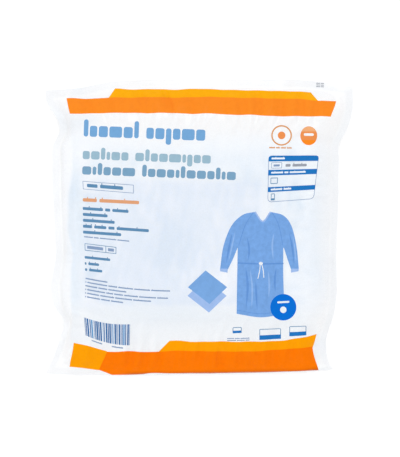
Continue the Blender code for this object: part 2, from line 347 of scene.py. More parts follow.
def weld_gaps(across, up):
    """Distances on the flat film in from the inner line of the left, right, bottom and top weld."""
    gaps = []
    for share, weld, size in ((across, WELD_SHARE_X, FLAT_WIDTH), (up, WELD_SHARE_Y, FLAT_LENGTH)):
        gaps += [(share - weld) * size, (1 - share - weld) * size]
    return gaps


def inside_welds(across, up):
    """The distance on the flat film in from the nearest weld."""
    return np.minimum.reduce(weld_gaps(across, up))


def gown_top(x, y):
    """The height of the gown under the film, where it has one."""
    across = np.abs(x - CENTRE_X) - (HALF_WIDTH - EDGE_ROUND)
    up = np.abs(y - CENTRE_Y) - (HALF_LENGTH - EDGE_ROUND)
    over = np.clip(np.hypot(np.maximum(across, 0), np.maximum(up, 0)) / EDGE_ROUND, 0, 1)
    half = 0.5 * (LAYERS_TOP - GOWN_BOTTOM)
    dome = crown(x, y)
    stack = np.where(over < 1, GOWN_BOTTOM + half * (1 + np.sqrt(1 - over**2)) + dome, 0)
    on_fold = np.minimum.reduce(inside_fold(x, y)) > 0
    return np.where(on_fold, LAYERS_TOP + FOLD_GAP + FOLD_WALL + dome, stack)


WELD_WAVES = (24, 75 * MM, 20 * MM)  # how many, and the longest and the shortest
SWAY, SWAY_SHARE = 1.1 * MM, 0.28  # height of the welds' waves, and its limit as a share of theirs
HANDLING_CREASES = (
    # how many, heights, widths, lengths, margin
    (90, (0.2 * MM, 0.8 * MM), (1.6 * MM, 4 * MM), (8 * MM, 30 * MM), (0.07, 0.36)),
    (90, (0.05 * MM, 0.3 * MM), (1.5 * MM, 4 * MM), (8 * MM, 40 * MM), None),
)
HANDLING_SEED = CREASE_SEED + 20


def smooth_web(across, up, is_front):
    """Points of one web of film at shares of the flat film, before its spare length crumples."""
    (x, y, rim, weld), gaps = seen_place(across, up)
    in_x, in_y = np.minimum(across, 1 - across) / WELD_SHARE_X, np.minimum(up, 1 - up) / WELD_SHARE_Y
    middle = rim + (weld - rim) * np.clip(np.minimum(in_x, in_y), 0, 1) + ridges(CORNER_FOLDS, x, y)
    flat_x, flat_y = (across - 0.5) * FLAT_WIDTH, (up - 0.5) * FLAT_LENGTH
    parted = smooth_step(inside_welds(across, up) / WEB_BLEND)
    # Both webs wave together where they are welded.
    sway = waves(flat_x, flat_y, *WELD_WAVES, CREASE_SEED) * (1 - parted)
    middle = middle + np.minimum(SWAY, SWAY_SHARE * middle) * sway
    sides = FRONT_SIDES if is_front else BACK_SIDES
    climbed = np.prod([climb(gap, *side) for gap, side in zip(gaps, sides)], axis=0)
    if not is_front:
        return np.array([x, y, middle - 0.5 * WEB_GAP - (middle - BACK_LIFT) * climbed])
    ceiling = FILM_TOP - FILM_STEP * (1 - fold_share(x, y)) + crown(x, y) + FRONT_LIFT
    level = middle + 0.5 * WEB_GAP + (ceiling - middle) * climbed
    level = level + ridges(FRONT_CREASES, x, y) * np.clip(climbed / LOW_RISE, 0, 1)
    for i, creases in enumerate(HANDLING_CREASES):
        level = level + crumples(flat_x, flat_y, *creases, HANDLING_SEED + i) * parted
    return np.array([x, y, level])


def film_floor(x, y, is_front):
    return gown_top(x, y) + FILM_CLEAR if is_front else np.full_like(x, BACK_LIFT)


def sampled(grid, across, up):
    """The grid's values at shares of the flat film, on a smooth surface."""
    spots = []
    for share, count in ((across, grid.shape[0]), (up, grid.shape[1])):
        place = share * (count - 1)
        first = np.clip(np.floor(place).astype(int), 0, count - 2)
        t = place - first
        weights = ((1 - t) ** 3, 3 * t**3 - 6 * t**2 + 4, 3 * (t + t**2 - t**3) + 1, t**3)
        spots.append([(np.clip(first + k - 1, 0, count - 1), w / 6) for k, w in enumerate(weights)])
    total = 0
    for i, weight_x in spots[0]:
        for j, weight_y in spots[1]:
            total = total + grid[i, j] * (weight_x * weight_y)[..., None]
    return total


# The film is longer than its smooth form, most of all along its welds, so it buckles. It is
# settled on ever finer grids of springs, which keep their lengths.
SETTLING = (
    # grid step, rounds, share of the spare length, height of the first irregularities
    (8 * MM, 150, 0.45, 0.5 * MM),
    (4 * MM, 120, 0.8, 0.3 * MM),
    (2 * MM, 120, 1.0, 0.15 * MM),
)
FIRST_WAVES, FIRST_LONGEST, FIRST_SHORTEST = 40, 8, 3  # lengths in steps of the grid
FRONT_SEED = 100
SPARE_MIDDLE, SPARE_EDGE = 0.012, 0.055
SPARE_NEAR, SPARE_FAR = 10 * MM, 60 * MM
SPARE_UNEVEN, SPARE_LIMITS = 0.5, (0.2, 2)
SPARE_WAVES, SPARE_SEED = (12, 160 * MM, 60 * MM), CREASE_SEED + 7
STIFFNESS = 0.01
HOLD = np.array([0.02, 0.02, 0.002])  # how fast shifts fade, along the film and upwards
FREE_AT = 4 * MM  # inside the weld, where the film moves freely
LARGEST_RISE = 3 * MM
TINY = 1e-6


def spare_lengths(across, up, seed):
    """How much longer than its smooth form the film is, along its width and along its length."""
    left, right, bottom, top = weld_gaps(across, up)
    uneven = 1 + SPARE_UNEVEN * waves(across * FLAT_WIDTH, up * FLAT_LENGTH, *SPARE_WAVES, seed)
    spares = []
    for depth in (np.minimum(bottom, top), np.minimum(left, right)):
        near = 1 - smooth_step((depth - SPARE_NEAR) / (SPARE_FAR - SPARE_NEAR))
        spare = SPARE_MIDDLE + (SPARE_EDGE - SPARE_MIDDLE) * near
        spares.append(spare * np.clip(uneven, *SPARE_LIMITS))
    return spares


def share_grid(columns, rows):
    return np.meshgrid(np.linspace(0, 1, columns), np.linspace(0, 1, rows), indexing="ij")


def flat_springs():
    """The springs of a grid, in sets that share no point: slices of both their ends, and how
    far they run along its width and its length."""
    every, low, high = slice(None), slice(None, -1), slice(1, None)
    for start in (0, 1):
        first, second = slice(start, -1, 2), slice(start + 1, None, 2)
        yield (first, every), (second, every), 1.0, 0.0
        yield (every, first), (every, second), 0.0, 1.0
        yield (first, low), (second, high), 0.5, 0.5
        yield (first, high), (second, low), 0.5, 0.5


def curvature(shift):
    total = np.zeros_like(shift)
    total[1:-1] += shift[:-2] + shift[2:] - 2 * shift[1:-1]
    total[:, 1:-1] += shift[:, :-2] + shift[:, 2:] - 2 * shift[:, 1:-1]
    return total


def measured_springs(smooth, free, spares, share):
    """The same with the springs' lengths, and how much of a change each of their ends takes."""
    springs = []
    for near, far, in_x, in_y in flat_springs():
        spare = share * (in_x * spares[0][near] + in_y * spares[1][near])
        length = np.linalg.norm(smooth[far] - smooth[near], axis=-1) * (1 + spare)
        moves = np.maximum(free[near] + free[far], TINY)
        parts = [(free[end] / moves)[..., None] for end in (near, far)]
        springs.append((near, far, length, *parts))
    return springs


def settle(is_front):
    """Shifts of the web from its smooth form once its spare length has buckled, on a grid."""
    shift = None
    for step, rounds, share, rough in SETTLING:
        across, up = share_grid(round(FLAT_WIDTH / step) + 1, round(FLAT_LENGTH / step) + 1)
        smooth = np.moveaxis(smooth_web(across, up, is_front), 0, -1)
        shift = np.zeros_like(smooth) if shift is None else sampled(shift, across, up)
        free = np.clip(inside_welds(across, up) / FREE_AT, 0, 1)
        first_waves = (FIRST_WAVES, FIRST_LONGEST * step, FIRST_SHORTEST * step)
        seed = CREASE_SEED + round(step / MM) + FRONT_SEED * is_front
        first = waves(across * FLAT_WIDTH, up * FLAT_LENGTH, *first_waves, seed)
        shift[..., 2] += rough * first * free
        spares = spare_lengths(across, up, SPARE_SEED + is_front)
        springs = measured_springs(smooth, free, spares, share)
        points = smooth + shift
        for _ in range(rounds):
            for near, far, length, move_near, move_far in springs:
                run = points[far] - points[near]
                now = np.sqrt(np.einsum("...k,...k", run, run))
                run *= ((now - length) / now)[..., None]
                points[near] += run * move_near
                points[far] -= run * move_far
            shift = points - smooth
            shift -= (STIFFNESS * curvature(curvature(shift)) + HOLD * shift) * free[..., None]
            points = smooth + shift
            floor = film_floor(points[..., 0], points[..., 1], is_front)
            highest = smooth[..., 2]
            if is_front:
                highest = np.maximum(highest + LARGEST_RISE, floor)
            points[..., 2] = np.clip(points[..., 2], np.minimum(floor, highest), highest)
            points[free == 0] = smooth[free == 0]
        shift = points - smooth
    return shift


LOOSE_AT = 7 * MM  # inside the weld, from where the film lies as it has settled


def moved(shift, across, up):
    """How far the settled film lies from its smooth form, at shares of the flat film."""
    share = smooth_step(inside_welds(across, up) / LOOSE_AT)
    return np.moveaxis(sampled(shift, across, up), -1, 0) * share


def web_points(across, up, shift, is_front):
    """Points of one web of film at shares of the flat film, with its creases and crumples."""
    points = smooth_web(across, up, is_front) + moved(shift, across, up)
    points[2] = np.maximum(points[2], film_floor(points[0], points[1], is_front))
    return points


# ---- the film's tints

WELD_GREY_AND_SHADE = "weld_grey_and_shade"  # the attribute that makes the film greyer in its welds, with painted shade on the ears beside them
WELD_FADE = 3 * MM
LOWER_EDGE_SHADE = "lower_edge_shade"  # the attribute for painted shade along the lower edge, where the film turns under
TURN_FROM, TURN_FADE = 6 * MM, 7 * MM  # on the flat film, in from its lower edge
TURN_LEFT, TURN_START = -84 * MM, 24 * MM  # and along it
GOWN_LIGHT_AND_SHADE = "gown_light_and_shade"  # the attribute for the gown's blue painted into the film, as light that comes through it, with patches of painted shade
CLING_CLOSE, CLING_WIDE = 0.9 * MM, 6 * MM
WIDE_SHARE = 0.35
BLUR_REACH, BLUR_SPOTS = 5 * MM, 24  # over which the film blurs the gown under it
BLUR_TURN = 2.4  # from spot to spot, in radians
# The gown's blue also lights the film beside it, less and less from each place onwards. At the
# top the film stands clear of it already some way inside.
GLOW = (
    # direction, place, how far it fades outwards, strength
    ((-1, 0), 126 * MM, 2.6 * MM, 0.75),
    ((1, 0), 116 * MM, 16 * MM, 0.3),
    ((0, -1), 84 * MM, 38 * MM, 0.46),
)
GLOW_INWARDS, GLOW_UNEVEN = 14 * MM, 1.6 * MM
GLOW_WAVES, GLOW_SEED = (16, 110 * MM, 30 * MM), CREASE_SEED + 60
CLEAR_FROM, CLEAR_TO, CLEAR_SHARE = 64 * MM, 86 * MM, 0.3
GOWN_LIGHT_SHADE_PATCHES = (
    # x, y, half width, half length, turn in degrees, how much more painted blue or painted shade there
    (49, 52, 17, 16, 20, 0.5),
    (71, 46, 18, 28, 0, 0.38),
    (48, 24, 16, 10, 0, -0.2),
    (-31, -16, 40, 44, -20, 0.38),
    (-30, -84, 64, 20, 0, 0.17),
    (43, -26, 20, 52, 8, -0.4),
    (26, -52, 19, 34, 0, -0.6),
    (89, -44, 9, 18, 0, -0.3),
    (-113, 4, 13, 46, 0, 0.5),
    (-107, -50, 12, 28, 0, 0.35),
    (-124, 34, 10, 22, 0, 0.3),
    (-120, 68, 20, 20, 20, -0.4),
    (114, -44, 13, 30, 0, 0.25),
    (-112, 105, 22, 12, 8, 0.35),
    (-137, 107, 26, 14, -60, 0.22),
    (110, 6, 15, 54, 0, 0.25),
    (122, -92, 26, 26, 0, -0.4),
    (-126, -90, 24, 24, 0, -0.4),
)
WELD_SHADE_PATCHES = (
    # the same, for painted shade on the ears beside the weld, and less grey at the bottom corners and
    # along the top
    (-139, 114, 28, 16, -60, 0.8),
    (-137, -102, 12, 16, 0, 0.6),
    (134, -102, 9, 14, 0, 0.4),
    (-144, -140, 30, 22, 0, -0.4),
    (136, -136, 24, 22, 0, -0.4),
    (0, 147, 170, 18, 0, -0.6),
)


def patches(points, table):
    """Soft oval patches, added up."""
    total = np.zeros_like(points[0])
    for x, y, half_x, half_y, turn, height in table:
        cos, sin = math.cos(math.radians(turn)), math.sin(math.radians(turn))
        off_x, off_y = points[0] / MM - x, points[1] / MM - y
        away = np.hypot((off_x * cos + off_y * sin) / half_x, (off_y * cos - off_x * sin) / half_y)
        total += height * (1 - smooth_step(away))
    return total


def weld_grey_and_shading(points, across, up):
    """1 where the film is painted greyer, in its welds and as painted shade on the ears beside them,
    and 0 inside.
    """
    weld_grey_and_shade = 1 - smooth_step((inside_welds(across, up) + WELD_FADE) / WELD_FADE)
    return np.clip(weld_grey_and_shade + patches(points, WELD_SHADE_PATCHES), 0, 1)


def lower_edge_shading(points, up):
    """Painted shade: 1 where the film turns under along its lower edge, and 0 from a little way inside.
    """
    inside = 1 - smooth_step((up * FLAT_LENGTH - TURN_FROM) / TURN_FADE)
    return inside * smooth_step((points[0] - TURN_LEFT) / TURN_START)


def painted_gown_light(points):
    """Where the gown's blue is painted into the film as light that comes through it: 1 where the film
    touches the gown and 0 well clear of it, with its painted glow beside the gown and patches of
    painted shade.
    """
    x, y, z = points
    total = 0
    for spot in range(BLUR_SPOTS):
        reach, turn = BLUR_REACH * math.sqrt((spot + 0.5) / BLUR_SPOTS), BLUR_TURN * spot
        cloth = gown_top(x + reach * math.cos(turn), y + reach * math.sin(turn))
        gap = np.where(cloth > 0, np.maximum(z - cloth, 0), np.inf)
        close, wide = np.exp(-gap / CLING_CLOSE), np.exp(-gap / CLING_WIDE)
        total = total + (1 - WIDE_SHARE) * close + WIDE_SHARE * wide
    total = total / BLUR_SPOTS
    uneven = GLOW_UNEVEN * waves(x, y, *GLOW_WAVES, GLOW_SEED)
    beyond = [x * across + y * up - place + uneven for (across, up), place, _, _ in GLOW]
    fades = [bell(np.maximum(far, 0) / fade) for far, (_, _, fade, _) in zip(beyond, GLOW)]
    outside = np.prod(fades, axis=0)
    for far, (_, _, _, strength) in zip(beyond, GLOW):
        glow = strength * outside * bell(np.minimum(far, 0) / GLOW_INWARDS)
        total = np.maximum(total, glow)
    clear = smooth_step((y - CLEAR_FROM) / (CLEAR_TO - CLEAR_FROM))
    total = total * (1 - (1 - CLEAR_SHARE) * clear)
    return np.maximum(total + patches(points, GOWN_LIGHT_SHADE_PATCHES), 0)


# ---- the print

PRINT = []  # (ink, points in millimetres), and what comes later lies on what came before
EDGE_STEP = 1.6  # longest stretch of a printed edge, in millimetres
CURVE_STEPS = 8  # from each given point of a curve to the next
SMALLEST_RADIUS = 0.05
BLOCK_WIDTHS = {"t": 0.5, "i": 0.42, "n": 0.82, "x": 1.0, "d": 0.6, "w": 1.4, " ": 0.5}
BLOCK_ROUND = 0.24  # radius of the blocks' corners, as a share of a usual block's width
WORD_ROUND, WORD_GAP = 0.3, 0.75  # radius and gaps of the bars, as shares of their height
STEM_WIDTH, STEM_LOW, STEM_HIGH = 0.28, 0.5, 1.42  # likewise
STEM_PLACES = ((0.3, 0.88), (0.06, 0.62))  # as shares of a bar, on every other bar in turn
LONG_WORD = 3  # from how many times its height onwards a bar has stems


def finely(points):
    """A closed outline with points added so that no stretch is longer than EDGE_STEP."""
    result = []
    for (x0, y0), (x1, y1) in zip(points, [*points[1:], points[0]]):
        pieces = max(1, math.ceil(math.hypot(x1 - x0, y1 - y0) / EDGE_STEP))
        result += [(x0 + (x1 - x0) * i / pieces, y0 + (y1 - y0) * i / pieces) for i in range(pieces)]
    return result


def rounded_box(x0, y0, x1, y1, radius):
    if radius <= 0:
        return [(x0, y0), (x1, y0), (x1, y1), (x0, y1)]
    radius = min(radius, 0.49 * (x1 - x0), 0.49 * (y1 - y0))
    points = []
    for x, y, turn in ((x1, y0, 3), (x1, y1, 0), (x0, y1, 1), (x0, y0, 2)):
        middle_x = x - math.copysign(radius, x - 0.5 * (x0 + x1))
        middle_y = y - math.copysign(radius, y - 0.5 * (y0 + y1))
        for i in range(4):
            angle = (turn + i / 3) * math.pi / 2
            points.append((middle_x + radius * math.cos(angle), middle_y + radius * math.sin(angle)))
    return points


def ellipse(x, y, half_width, half_height, steps):
    angles = [2 * math.pi * i / steps for i in range(steps)]
    return [(x + half_width * math.cos(a), y + half_height * math.sin(a)) for a in angles]


def curve(points):
    """Points on a smooth curve through the given ones."""
    points = [np.array(p, dtype=float) for p in points]
    ends = [2 * points[0] - points[1], *points, 2 * points[-1] - points[-2]]
    result = []
    for a, b, c, d in zip(ends, ends[1:], ends[2:], ends[3:]):
        for t in np.arange(CURVE_STEPS) / CURVE_STEPS:
            result.append(0.5 * (2 * b + (c - a) * t + (2 * a - 5 * b + 4 * c - d) * t**2
                                 + (3 * b - a - 3 * c + d) * t**3))
    return [*result, points[-1]]


class Panel:
    """A place for print, given by its width, its height and where its corners are seen. Its
    middle may hang below the straight lines between the corners."""

    def __init__(self, width, height, low_left, low_right, top_left, top_right, sag=0.0):
        self.size = np.array([width, height], dtype=float)
        self.corners = np.array([low_left, low_right, top_left, top_right], dtype=float)
        self.sag = sag

    def seen(self, points):
        across, up = (np.array(points, dtype=float) / self.size).T[:, :, None]
        low_left, low_right, top_left, top_right = self.corners
        low = (1 - across) * low_left + across * low_right
        top = (1 - across) * top_left + across * top_right
        place = (1 - up) * low + up * top
        place[:, 1] -= 4 * self.sag * (across * (1 - across))[:, 0]
        return place

    def box(self, ink, x0, y0, x1, y1, radius=0.0):
        PRINT.append((ink, self.seen(finely(rounded_box(x0, y0, x1, y1, radius)))))

    def frame(self, ink, x0, y0, x1, y1, line, radius):
        """An outlined box: a filled one, with another in the colour of the film on it."""
        self.box(ink, x0, y0, x1, y1, radius)
        inner_radius = max(radius - line, SMALLEST_RADIUS)
        self.box("white", x0 + line, y0 + line, x1 - line, y1 - line, inner_radius)

    def blocks(self, ink, blocks, low, tall, deep, gap):
        """A row of plain round blocks in place of large words: t stands tall, d reaches down, the
        others are as low as the row, and a space parts two words. It fills the panel's width."""
        total = sum(BLOCK_WIDTHS[block] for block in blocks)
        width = (self.size[0] - gap * (len(blocks) - 1)) / total
        x = 0.0
        for block in blocks:
            wide = BLOCK_WIDTHS[block] * width
            if block != " ":
                bottom, top = -deep if block == "d" else 0.0, tall if block == "t" else low
                self.box(ink, x, bottom, x + wide, top, BLOCK_ROUND * width)
            x += wide + gap

    def words(self, ink, y, height, *rows, start=0.0, step=0.0):
        """Rows of plain bars in place of small words, with a few stems that stand out of them."""
        for row, words in enumerate(rows):
            x, low = start, y - step * row
            for i, word in enumerate(words):
                self.box(ink, x, low, x + word, low + height, WORD_ROUND * height)
                for share in STEM_PLACES[i % 2] if word > LONG_WORD * height else ():
                    left, right = x + share * word, x + share * word + STEM_WIDTH * height
                    self.box(ink, left, low + STEM_LOW * height, right, low + STEM_HIGH * height)
                x += word + WORD_GAP * height


def disc(ink, *place):
    PRINT.append((ink, np.array(ellipse(*place))))


def on_film(ink, points):
    """Print whose points are given where they are seen."""
    PRINT.append((ink, np.array(finely(points), dtype=float)))


BAND_WAVES, BAND_SEED = (14, 80, 20), 23
BAND_SWAY = 0.55  # how far the film's gathers shift the bands' edges, in millimetres
BAND_STEADY = (-147, 12)  # from where and over what length they do so, at the bottom
BANDS = (
    # ink, the points of the lower edge, and those of the upper edge from right to left
    (
        "amber",
        [(-91, 128.4), (-20, 128.8), (60, 128.2), (120, 126.4)],
        [(112, 135.4), (60, 137), (-20, 138.2), (-84, 138.4)],
    ),
    (
        "orange",
        [(-129, 113), (-84, 114.6), (-30, 114.2), (40, 112.2), (100, 110.8), (132.5, 110.6)],
        [(137, 126.5), (90, 128.6), (20, 129.8), (-60, 130.2), (-132.5, 128.8)],
    ),
    (
        # the bottom band's amber, a darker copy of the amber above, as painted shade
        "shaded_amber",
        [(-40.8, -124.6), (20, -124.6), (75, -123.2), (113, -120.4)],
        [(117, -106.8), (101, -109.6), (66, -113.6), (20, -113.8), (-30, -113.6)],
    ),
)
BASE_CORNER = (-105, -140.6)
BASE_LOW = [
    (-87, -147.6), (-69, -147.3), (-57, -146.8), (-49, -145.7), (-41, -145.5),
    (-30, -145.9), (-10, -146), (12, -145.9), (31, -145.6), (51, -145.2),
    (71, -144.8), (91, -144.1), (106, -143.6), (119.5, -142.9),
]
BASE_HIGH = [(112.5, -119), (60, -123), (-30, -123.6), (-92, -123.8)]


def on_gathered_film(ink, points):
    """Broad print, whose edges the film's gathers shift a little."""
    x, y = np.array(finely(points)).T
    size = BAND_SWAY * np.clip((y - BAND_STEADY[0]) / BAND_STEADY[1], 0, 1)
    shifts = [size * waves(x, y, *BAND_WAVES, BAND_SEED + i) for i in range(2)]
    on_film(ink, list(zip(x + shifts[0], y + shifts[1])))


def print_bands():
    """Plain two-tone bands. Each amber shape reaches a little way under the orange on it."""
    for ink, low, high in BANDS:
        on_gathered_film(ink, curve(low) + curve(high))
    right_end = curve([BASE_LOW[-1], (115, -129.5), BASE_HIGH[0]])
    base = [BASE_CORNER, *curve(BASE_LOW), *right_end[1:-1], *curve(BASE_HIGH)]
    on_gathered_film("shaded_orange", base)
    block = [(-92, -123.4), (-125, -114.5), (-129.6, -139), *curve([(-112, -141.2), (-100, -142.8)])]
    on_gathered_film("shaded_amber", block)


def print_titles():
    headline = Panel(121, 18, (-115, 90.7), (6, 86.4), (-114.5, 108.7), (6.8, 104.4))
    headline.blocks("bright_blue", "tnxwxt nxdnwx", 11, 17.2, 5.2, 1.5)
    title = Panel(127.5, 12, (-116, 68.2), (11.5, 63.6), (-115.6, 80.2), (12, 75.6))
    title.blocks("title_pale", "nxtixn xtnxwidnx", 8.2, 12, 3.6, 1.3)
    second = Panel(153, 12, (-116.5, 52.9), (36.5, 47.1), (-116, 64.9), (37, 59.1))
    second.blocks("title_blue", "xitnxw tnxnitxxntix", 8.2, 12, 3.4, 1.3)


# The lengths of the bars in each row of the smallest text.
SMALL_ROWS = (
    (22,),
    (1, 20, 9, 15, 16, 19),
    (12, 9, 18),
    (1, 18, 7, 9, 14, 17, 11),
    (1, 12, 14, 17, 18),
    (1, 13, 9, 12),
)


def print_text():
    label = Panel(51, 8.4, (-115.5, 38.1), (-65, 33.9), (-116, 46.3), (-65, 42.5))
    label.frame("grey_blue", 0, 0, 51, 8.4, 0.55, 0.4)
    label.words("slate_blue", 2.5, 3.5, (10.5, 23), start=4.2)
    warm = Panel(57.6, 5, (-115.8, 25.9), (-58.2, 23), (-115.7, 30.9), (-58, 28))
    warm.words("warm_text", 0, 3.4, (14, 39.5))
    lines = Panel(66.5, 28, (-115.5, -6), (-49, -10.7), (-115.8, 22), (-49, 17.5))
    lines.words("slate_blue", 23.6, 2.9, (20, 5, 16), (24.5,), (31.5,), (9, 12, 6, 32), (38,), step=5.9)
    tiny = Panel(48, 2, (-114.5, -9.3), (-67, -14), (-114.4, -7.3), (-66.8, -12))
    tiny.words("grey_blue", -0.4, 1.1, (9, 5, 17, 12))
    mark = Panel(31.5, 7, (-113.7, -22.9), (-82.4, -26.4), (-114, -15.7), (-82.4, -19.5))
    mark.frame("slate_blue", 0, 0, 31.5, 7, 0.6, 0.5)
    mark.box("slate_blue", 20.8, 0.3, 21.4, 6.7)
    mark.box("grey_blue", 2.4, 2, 18.4, 5, 0.4)
    mark.box("grey_blue", 23.2, 2, 29.2, 5, 0.4)
    contents = Panel(25.5, 16, (-113.5, -43.1), (-88, -45.8), (-114, -26.8), (-88, -29.5))
    contents.words("slate_blue", 12, 2.5, (25,), (1.6, 10.5), (2.2, 13), step=6)
    small = Panel(88.5, 21, (-113.5, -69.4), (-25, -78.5), (-113, -48), (-25, -57), sag=2.2)
    small.words("grey_blue", 17.8, 1.25, *SMALL_ROWS, step=3.55)


BAR_WIDTH, BAR_HEIGHT, NARROW_BAR = 46.5, 20, 0.52


def print_bars():
    corners = (-113, -107.5), (-68.5, -117.5), (-114.5, -89.5), (-68, -96.3)
    bars = Panel(BAR_WIDTH, BAR_HEIGHT, *corners, sag=2.6)
    x, bar = 0.0, 0
    while x < BAR_WIDTH - 1:
        # A plain rhythm of wide and narrow bars and gaps, which encodes nothing.
        wide = NARROW_BAR * (1 + (7 * bar % 5 + 1) // 2)
        ink = "code_pale" if bar % 6 == 4 else "code_blue"
        bars.box(ink, x, 0, min(x + wide, BAR_WIDTH), BAR_HEIGHT)
        x += wide + NARROW_BAR * (1 + 3 * bar % 7 // 5)
        bar += 1
    for length, start in ((11, 6), (12, 27)):
        bars.words("grey_blue", -3.4, 1.2, (length,), start=start)


def print_badges():
    ring_x, ring_y = 82.3, 91.8
    disc("ring_orange", ring_x, ring_y, 10.3, 10.2, 48)
    disc("white", ring_x, ring_y, 8.9, 8.8, 48)
    disc("orange_line", ring_x, ring_y, 3.8, 3.8, 28)
    caption = Panel(24, 2, (69.9, 79), (93.7, 78.6), (69.9, 81), (93.7, 80.6))
    caption.words("ring_orange", 0, 1.2, (6, 4, 5, 5))
    badge = ellipse(109.4, 91.4, 8.4, 9.4, 40)
    PRINT.append(("orange_line", np.array(badge)))
    on_film("orange", [(x, y) for x, y in badge if y < 87.2])
    on_film("warm_pale", [(x, y) for x, y in [*badge[20:], *badge[:20]] if y > 95.2])
    bar = Panel(10, 3, (104.4, 91.4), (114.4, 91.2), (104.4, 94.4), (114.4, 94.2))
    bar.box("white", 0, 0, 10, 2.6, 1.2)


def print_table():
    table = Panel(49, 45, (68.2, 25), (114.4, 28.4), (69.3, 71.6), (119.6, 71.8))
    table.frame("grey_blue", 0, 0, 49, 45, 0.55, 4)
    for low, high, radius in ((39.4, 45, 3.6), (25.8, 31.2, 0), (9.8, 14.6, 0), (39.4, 42, 0)):
        table.box("bar_blue", 0, low, 49, high, radius)
    for y, words in ((41.4, (13,)), (27.6, (12, 4, 16)), (11.3, (12, 8))):
        table.words("white", y, 1.7, words, start=3)
    table.frame("grey_blue", 3, 32.6, 13.5, 38.4, 0.45, 0.6)
    table.box("grey_blue", 5.2, 34.4, 11.3, 36.4, 0.3)
    table.words("grey_line", 34, 2.6, (5, 14), start=17)
    table.frame("slate_blue", 2.6, 17.6, 10, 23.6, 0.7, 0.6)
    table.frame("slate_blue", 3.4, 1.6, 7.6, 8.2, 0.7, 0.6)
    table.box("slate_blue", 3.4, 1.6, 7.6, 3.6)


def print_marks():
    for x, y, wide, high in ((33.5, -105.5, 9, 6), (60.2, -112.2, 21.5, 11), (90, -108.5, 17, 10)):
        low_right, top_right = (x + wide, y + 0.06 * wide), (x + wide, y + 1.06 * high)
        spot = Panel(wide, high, (x, y), low_right, (x, y + high), top_right)
        spot.frame("slate_blue", 0, 0, wide, high, 0.7, 1)
        spot.box("bar_blue", 0, 0, wide, 0.42 * high, 0.5)
    notes = Panel(24, 3, (28, -112.2), (52, -111.6), (28, -109.2), (52, -108.6))
    notes.words("grey_blue", 0.9, 0.9, (7, 5, 9))
    notes.words("grey_blue", -1, 0.9, (9, 8, 4))
    corner = Panel(9, 5, (117.2, 140.6), (126, 140.3), (117.2, 145.5), (126, 145.2))
    corner.words("grey_line", 0, 0.8, *[(4, 3.4)] * 3, step=-1.7)


def stroke(ink, points, width, tapers=False):
    """A line through the given points, as wide all along or thinning out to both ends."""
    line = np.array(curve(points))
    run = np.gradient(line, axis=0)
    normal = np.column_stack([-run[:, 1], run[:, 0]]) / np.hypot(*run.T)[:, None]
    share = np.linspace(0, 1, len(line))
    half = 0.5 * width * (np.sin(np.pi * share) * 0.9 + 0.1 if tapers else np.ones_like(share))
    side = normal * half[:, None]
    on_film(ink, [*(line + side), *(line - side)[::-1]])


# The lines on the printed gown: ink, points of the middle line, and largest width.
SLEEVE_SEAMS = (
    ("gown_dark", [(54, 15), (46, 2), (39.5, -18)], 0.7),
    ("gown_dark", [(73, 15), (79.5, 2), (83.6, -18)], 0.7),
)
SOFT_FOLDS = (
    ("gown_dark", [(33, -6), (30, -20), (27, -36)], 2),
    ("gown_light", [(36, -4), (33, -18), (29.5, -34)], 1.4),
    ("gown_dark", [(90, -6), (93, -20), (94.6, -36)], 2),
    ("gown_light", [(93.4, -8), (95.6, -22), (96.8, -36)], 1.3),
    ("gown_dark", [(48, -10), (50, -22), (49, -33)], 1.8),
    ("gown_light", [(74.5, -6), (73, -18), (74, -32)], 1.8),
    ("gown_dark", [(46.5, -40), (48.5, -58), (47, -80)], 2.4),
    ("gown_light", [(51, -42), (53, -60), (52.5, -80)], 1.8),
    ("gown_dark", [(56.5, -54), (57, -66), (58, -82)], 2),
    ("gown_light", [(69, -44), (70, -56), (69.5, -70)], 1.8),
    ("gown_dark", [(77, -40), (75.5, -52), (76, -64)], 2.2),
)
EDGINGS = (
    # the hem, the neck band, the belt and its two ends
    ("gown_dark", [(37.9, -82.4), (62, -86), (85.2, -82.6)], 0.6),
    ("cloth_pale", [(55.7, 15.6), (63.5, 6), (71.3, 15.6)], 1.5),
    ("gown_dark", [(38.4, -35.4), (62, -36.2), (84.2, -35.8)], 1.5),
    ("white", [(61, -36), (60.4, -43), (58.6, -51)], 0.8),
    ("white", [(62.4, -36), (64, -43), (64.6, -50)], 0.8),
)
# The corners of a folded cloth from its middle: a plain square that stands on a corner.
CLOTH = ((-19.5, 0), (0.1 * 19.5, -0.86 * 19.5), (19.5, 0.02), (-0.1 * 19.5, 0.86 * 19.5))


